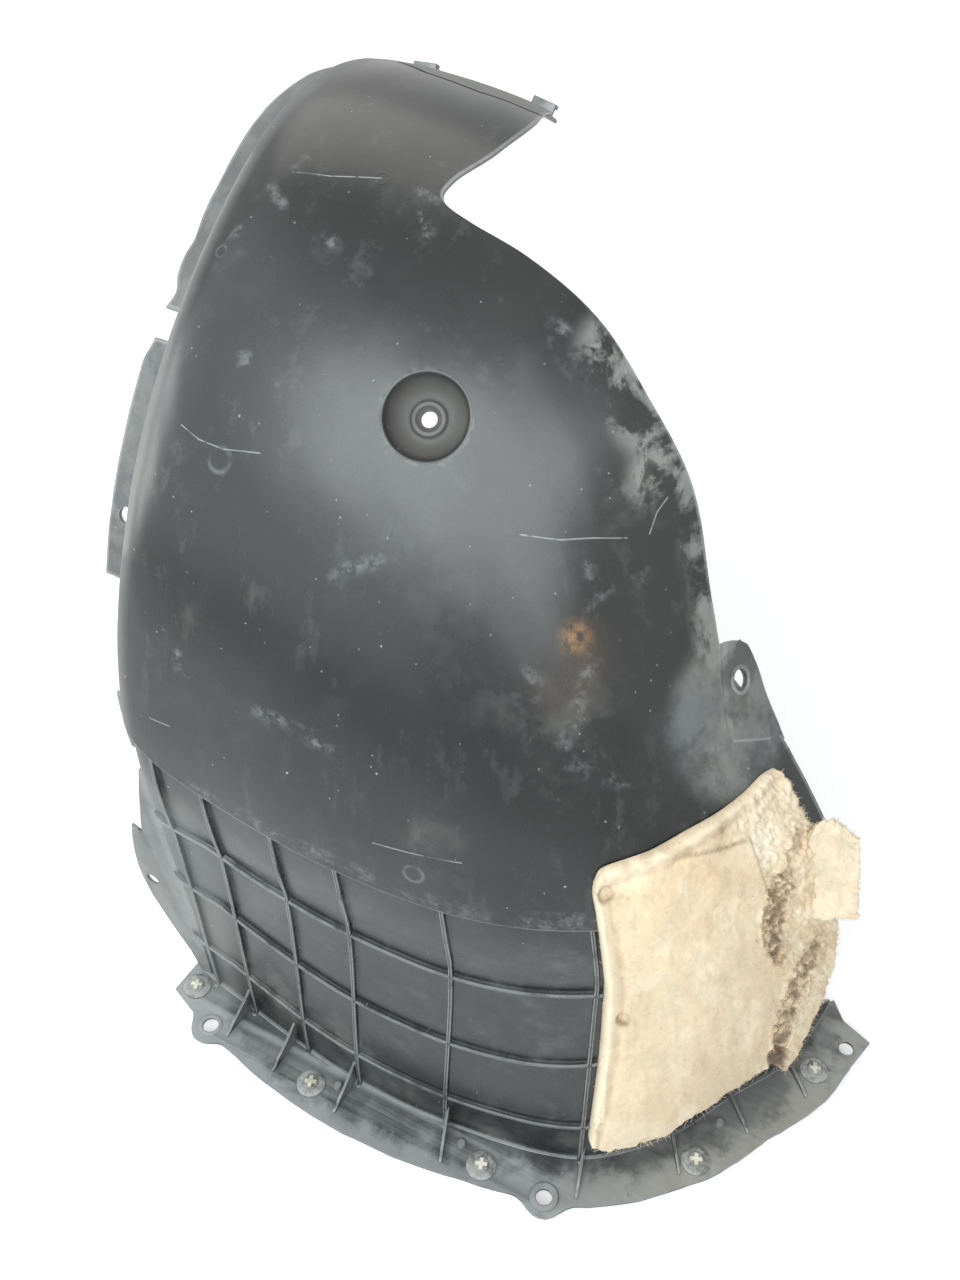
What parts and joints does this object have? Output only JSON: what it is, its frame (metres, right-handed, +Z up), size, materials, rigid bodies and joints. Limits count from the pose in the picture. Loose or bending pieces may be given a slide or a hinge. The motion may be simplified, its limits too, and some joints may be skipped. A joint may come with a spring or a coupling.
{
  "type": "wheel arch liner",
  "caption": "Front half of a moulded wheel arch liner with a ribbed front wall, a screw flange, outboard brims and a torn felt pad.",
  "frame": {"origin": "centre of the front lug's screw hole, on the underside of the bottom flange", "axes": "the vehicle's own: +X inboard, +Y rearward, +Z up"},
  "size_m": [0.493, 0.4164, 0.586],
  "materials": {
    "shell_plastic": "charcoal moulded plastic with a soft sheen, scuffed and dusty",
    "felt": "cream needled felt, stained and torn",
    "clip_plastic": "dark plastic under grey dust",
    "pin_plastic": "light plastic, dusty"
  },
  "bodies": {
    "root": {"liner_shell": "shell_plastic", "felt_pad": "felt", "clip_bodies": "clip_plastic", "clip_pins": "pin_plastic"}
  },
  "joints": []
}
